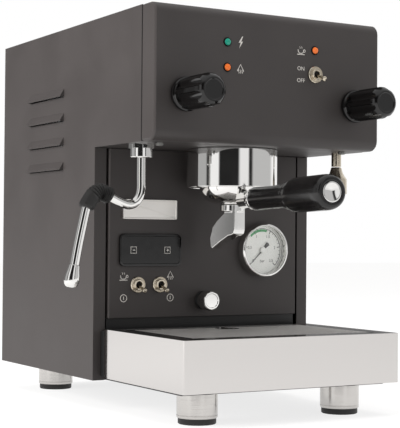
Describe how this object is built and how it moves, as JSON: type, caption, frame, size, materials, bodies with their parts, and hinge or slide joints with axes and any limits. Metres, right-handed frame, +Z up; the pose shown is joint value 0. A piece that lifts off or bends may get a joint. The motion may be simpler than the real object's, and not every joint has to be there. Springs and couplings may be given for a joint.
{
  "type": "espresso machine",
  "caption": "Compact home espresso machine: charcoal casing, chrome group with portafilter, steam wand, hot water spout, drip tray, display, gauge, toggles and knobs.",
  "frame": {"origin": "middle of the footprint box, steam wand and portafilter handle included, on the table", "axes": "+Z up, +X to the right seen from the front, +Y from the front to the back"},
  "size_m": [0.3232, 0.487, 0.385],
  "materials": {
    "powder_coat": "fine matte textured charcoal powder coat",
    "chrome": "mirror chrome plate",
    "polished_steel": "polished stainless steel sheet",
    "brushed_steel": "brushed stainless steel",
    "black_gloss": "glossy black moulded plastic",
    "black_plastic": "satin black moulded plastic",
    "handle_black": "satin black phenolic handle",
    "rubber": "black heat-resistant rubber",
    "green_lens": "translucent green lens",
    "orange_lens": "translucent orange lens",
    "white_dial": "printed white dial",
    "gauge_glass": "clear flat glass",
    "tank_plastic": "translucent moulded plastic",
    "copper": "bare copper boiler",
    "inner_steel": "zinc-plated steel",
    "black_paint": "satin black painted steel",
    "print_grey": "light grey printed legends"
  },
  "bodies": {
    "machine": {"chassis_base": "black_paint", "side_panel_left": "powder_coat", "side_panel_right": "powder_coat", "rear_panel": "powder_coat", "front_cover": "powder_coat", "head_floor": "powder_coat", "service_panel": "powder_coat", "top_panel": "powder_coat", "foot_front_left": "brushed_steel", "foot_front_right": "brushed_steel", "foot_rear_left": "brushed_steel", "foot_rear_right": "brushed_steel", "group_body": "chrome", "group_bezel": "chrome", "group_gasket": "rubber", "shower_screen": "brushed_steel", "steam_valve": "inner_steel", "water_valve": "inner_steel", "steam_nut": "chrome", "water_pipe": "chrome", "water_nozzle": "chrome", "power_toggle_bushing": "chrome", "brew_toggle_bushing": "chrome", "steam_toggle_bushing": "chrome", "lamp_power": "green_lens", "lamp_steam": "orange_lens", "lamp_brew": "orange_lens", "display_housing": "black_gloss", "gauge_case": "chrome", "steam_boiler": "copper", "brew_boiler": "brushed_steel", "pump": "inner_steel", "control_box": "black_plastic", "power_inlet": "black_plastic", "name_plate": "brushed_steel"},
    "portafilter": {"portafilter_body": "chrome", "filter_basket": "brushed_steel", "spout": "chrome", "handle_ferrule": "chrome", "handle_grip": "handle_black", "handle_cap": "chrome"},
    "steam_knob": {"steam_knob": "black_gloss"},
    "water_knob": {"water_knob": "black_gloss"},
    "regulator": {"regulator_knob": "chrome"},
    "wand_ball": {"ball_seat": "rubber"},
    "wand": {"steam_wand": "chrome", "wand_grip": "rubber", "wand_tip": "chrome"},
    "power_lever": {"power_toggle_lever": "chrome"},
    "brew_lever": {"brew_toggle_lever": "chrome"},
    "steam_lever": {"steam_toggle_lever": "chrome"},
    "minus_key": {"key_minus": "black_gloss"},
    "plus_key": {"key_plus": "black_gloss"},
    "drip_tray": {"tray_cover": "polished_steel", "drip_basin": "black_plastic"},
    "grid": {"drip_grid": "polished_steel"},
    "tank": {"water_tank": "tank_plastic"},
    "lid": {"tank_lid": "black_plastic", "lid_lip": "black_plastic"},
    "needle": {"gauge_needle": "black_plastic"}
  },
  "joints": [
    {"name": "portafilter_turn", "type": "hinge", "parent": "machine", "child": "portafilter", "pos_m": [0.02963, -0.04754, 0.207], "axis": [0, 0, 1], "range_deg": [-45, 5]},
    {"name": "steam_knob_turn", "type": "hinge", "parent": "machine", "child": "steam_knob", "pos_m": [-0.06637, -0.12954, 0.3011], "axis": [0, -1, 0], "range_deg": [0, 360]},
    {"name": "water_knob_turn", "type": "hinge", "parent": "machine", "child": "water_knob", "pos_m": [0.12563, -0.12954, 0.3011], "axis": [0, -1, 0], "range_deg": [0, 360]},
    {"name": "regulator_turn", "type": "hinge", "parent": "machine", "child": "regulator", "pos_m": [0.02563, 0.00146, 0.10619], "axis": [0, -1, 0], "range_deg": [0, 270]},
    {"name": "wand_swivel", "type": "hinge", "parent": "machine", "child": "wand_ball", "pos_m": [-0.08387, -0.06854, 0.2498], "axis": [0, 0, 1], "range_deg": [-60, 120]},
    {"name": "wand_tilt", "type": "hinge", "parent": "wand_ball", "child": "wand", "pos_m": [-0.08387, -0.06854, 0.2498], "axis": [0, 1, 0], "range_deg": [-5, 10]},
    {"name": "power_toggle_throw", "type": "hinge", "parent": "machine", "child": "power_lever", "pos_m": [0.07903, -0.12054, 0.3295], "axis": [-1, 0, 0], "range_deg": [0, 40]},
    {"name": "brew_toggle_throw", "type": "hinge", "parent": "machine", "child": "brew_lever", "pos_m": [-0.05007, 0.00046, 0.12268], "axis": [-1, 0, 0], "range_deg": [0, 40]},
    {"name": "steam_toggle_throw", "type": "hinge", "parent": "machine", "child": "steam_lever", "pos_m": [-0.02497, 0.00046, 0.12268], "axis": [-1, 0, 0], "range_deg": [0, 40]},
    {"name": "minus_key_press", "type": "slide", "parent": "machine", "child": "minus_key", "axis": [0, 1, 0], "range_m": [0, 0.0005], "stiffness_N_per_m": 300, "springref_m": -0.001},
    {"name": "plus_key_press", "type": "slide", "parent": "machine", "child": "plus_key", "axis": [0, 1, 0], "range_m": [0, 0.0005], "stiffness_N_per_m": 300, "springref_m": -0.001},
    {"name": "tray_slide", "type": "slide", "parent": "machine", "child": "drip_tray", "axis": [0, -1, 0], "range_m": [0, 0.16]},
    {"name": "grid_lift", "type": "slide", "parent": "drip_tray", "child": "grid", "axis": [0, 0, 1], "range_m": [0, 0.05]},
    {"name": "tank_lift", "type": "slide", "parent": "machine", "child": "tank", "axis": [0, 0, 1], "range_m": [0, 0.235]},
    {"name": "lid_lift", "type": "slide", "parent": "tank", "child": "lid", "axis": [0, 0, 1], "range_m": [0, 0.06]},
    {"name": "needle_turn", "type": "hinge", "parent": "machine", "child": "needle", "pos_m": [0.09633, 0.00146, 0.15779], "axis": [0, 1, 0], "range_deg": [0, 270], "stiffness_Nm_per_rad": 0.0005, "springref_deg": -17.19}
  ]
}
